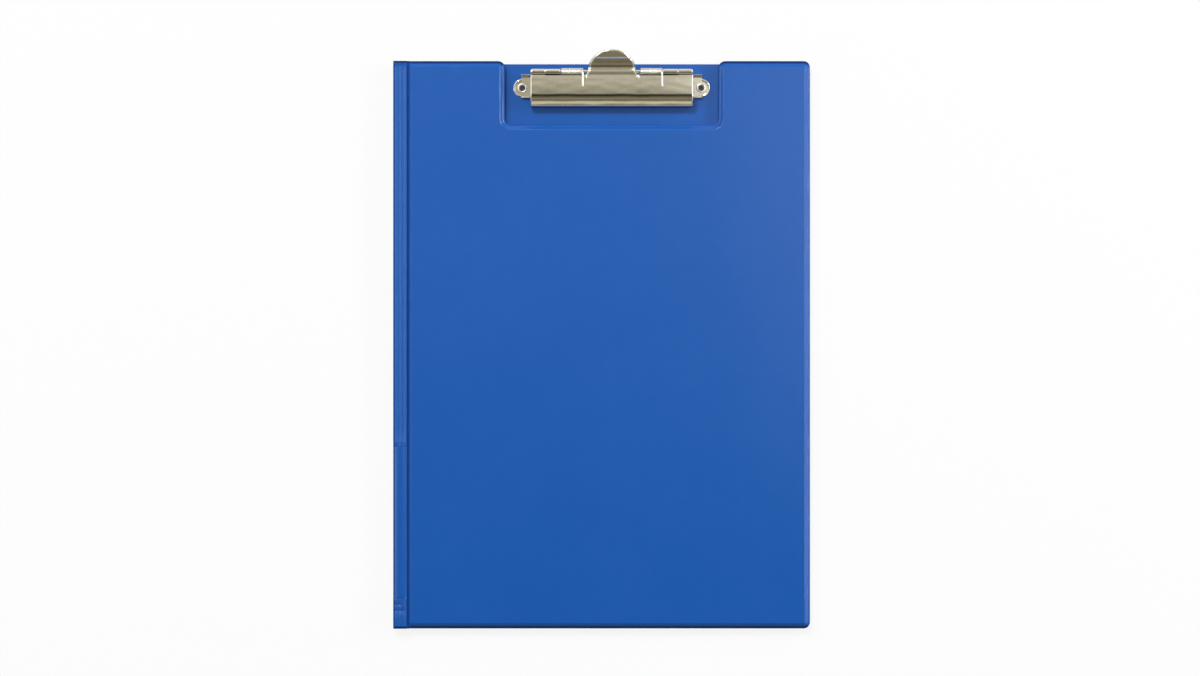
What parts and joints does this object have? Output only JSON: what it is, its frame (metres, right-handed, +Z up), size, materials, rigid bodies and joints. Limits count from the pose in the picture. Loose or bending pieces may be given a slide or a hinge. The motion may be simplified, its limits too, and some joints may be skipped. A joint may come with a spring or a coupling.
{
  "type": "clipboard folder",
  "caption": "Fold-over clipboard folder for A4 paper: two film-covered boards joined by a ribbed spine with a pen sleeve, and a sprung lever clip in a cover notch.",
  "frame": {"origin": "middle of the outside face of the back panel, on the surface that the closed folder lies on", "axes": "+X from the spine to the opening edge, +Y towards the clip, +Z up out of the front cover"},
  "size_m": [0.235, 0.3252, 0.022],
  "materials": {
    "blue_film": "blue vinyl film with a fine leather-like grain",
    "grey_board": "pressed grey board",
    "nickel_sheet": "bright nickel-plated steel sheet",
    "spring_wire": "bright nickel-plated spring wire"
  },
  "bodies": {
    "back": {"back_outer_film": "blue_film", "back_board": "grey_board", "back_inner_film": "blue_film", "clip_base": "nickel_sheet", "hinge_rod": "nickel_sheet", "left_spring": "spring_wire", "right_spring": "spring_wire", "left_eyelet": "nickel_sheet", "right_eyelet": "nickel_sheet"},
    "spine": {"spine_film": "blue_film", "pen_sleeve": "blue_film"},
    "cover": {"cover_outer_film": "blue_film", "cover_board": "grey_board", "cover_inner_film": "blue_film", "cover_pocket": "blue_film"},
    "jaw": {"clip_jaw": "nickel_sheet"}
  },
  "joints": [
    {"name": "spine_fold", "type": "hinge", "parent": "back", "child": "spine", "pos_m": [-0.1172, 0, 0.0006], "axis": [0, -1, 0], "range_deg": [0, 180]},
    {"name": "cover_fold", "type": "hinge", "parent": "spine", "child": "cover", "pos_m": [-0.1172, 0, 0.0066], "axis": [0, -1, 0], "range_deg": [0, 180]},
    {"name": "jaw_pivot", "type": "hinge", "parent": "back", "child": "jaw", "pos_m": [0.0057, 0.1536, 0.0099], "axis": [-1, 0, 0], "range_deg": [0, 38], "stiffness_Nm_per_rad": 0.3, "springref_deg": -57.3, "deforming": ["left_spring", "right_spring"]}
  ],
  "couplings": [
    {"joint": "cover_fold", "follows": "spine_fold", "ratio": 1}
  ]
}
